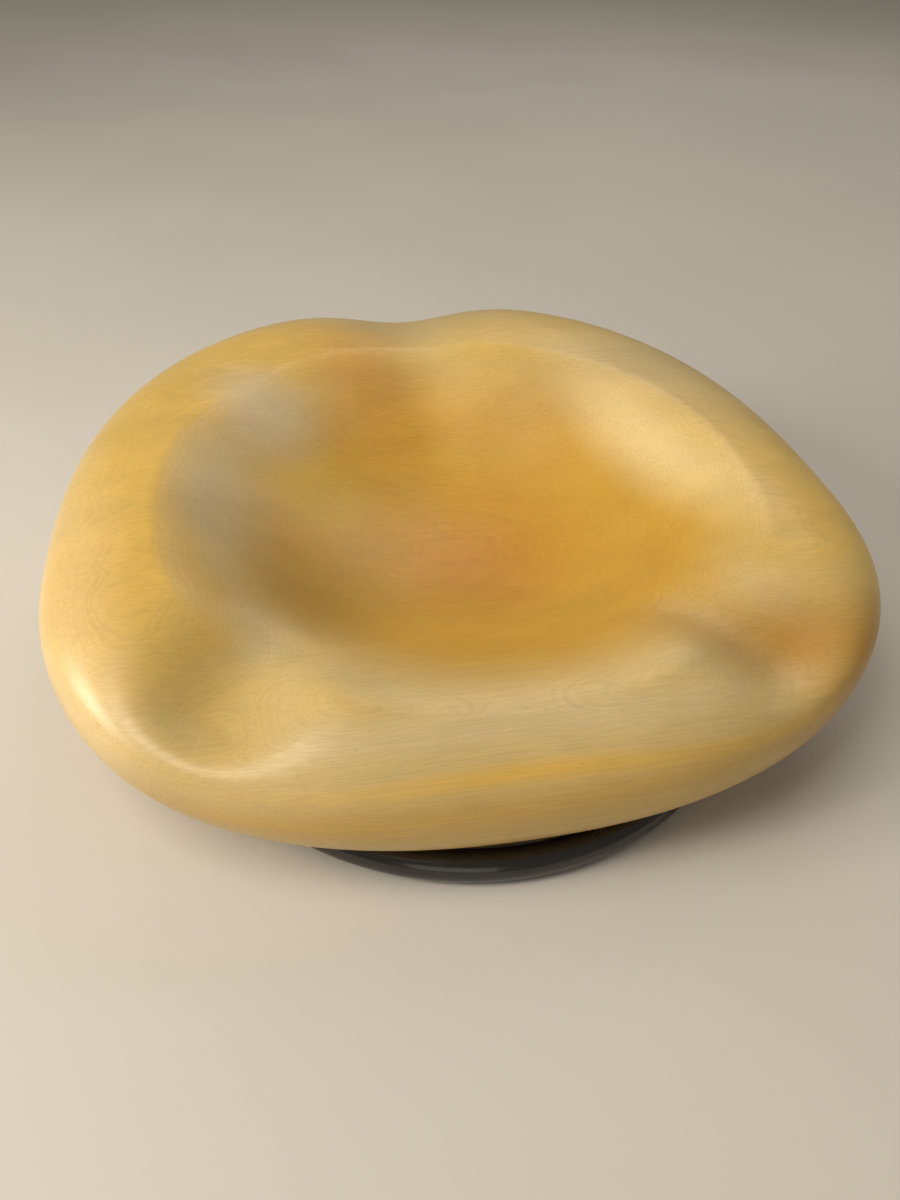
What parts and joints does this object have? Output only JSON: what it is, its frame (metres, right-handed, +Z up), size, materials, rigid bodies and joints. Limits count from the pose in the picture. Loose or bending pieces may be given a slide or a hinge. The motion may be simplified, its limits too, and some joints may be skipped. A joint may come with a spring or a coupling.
{
  "type": "sculpted saddle seat",
  "caption": "Sculpted saddle-shaped seat in carved, glued-up timber, screwed through welded lugs to a round steel carrier ring.",
  "frame": {"origin": "middle of the object's box in plan, on the plane that the carrier ring stands on", "axes": "+Z up, -Y towards the front of the seat, +X across it to the sitter's left when the sitter faces -Y"},
  "size_m": [0.436, 0.411, 0.1219],
  "materials": {
    "seat_timber": "clear satin lacquer over pale yellow timber with warm orange growth bands",
    "black_enamel": "glossy black stoved enamel",
    "zinc_steel": "bright zinc plate",
    "insert_brass": "machined brass"
  },
  "bodies": {
    "root": {"carrier_ring": "black_enamel", "lug_screw_1": "zinc_steel", "lug_screw_2": "zinc_steel", "lug_screw_3": "zinc_steel", "lug_screw_4": "zinc_steel", "lug_washer_1": "zinc_steel", "lug_washer_2": "zinc_steel", "lug_washer_3": "zinc_steel", "lug_washer_4": "zinc_steel", "ring_lug_1": "black_enamel", "ring_lug_2": "black_enamel", "ring_lug_3": "black_enamel", "ring_lug_4": "black_enamel", "seat_board_lower": "seat_timber", "seat_board_middle": "seat_timber", "seat_board_upper": "seat_timber", "threaded_insert_1": "insert_brass", "threaded_insert_2": "insert_brass", "threaded_insert_3": "insert_brass", "threaded_insert_4": "insert_brass"}
  },
  "joints": []
}
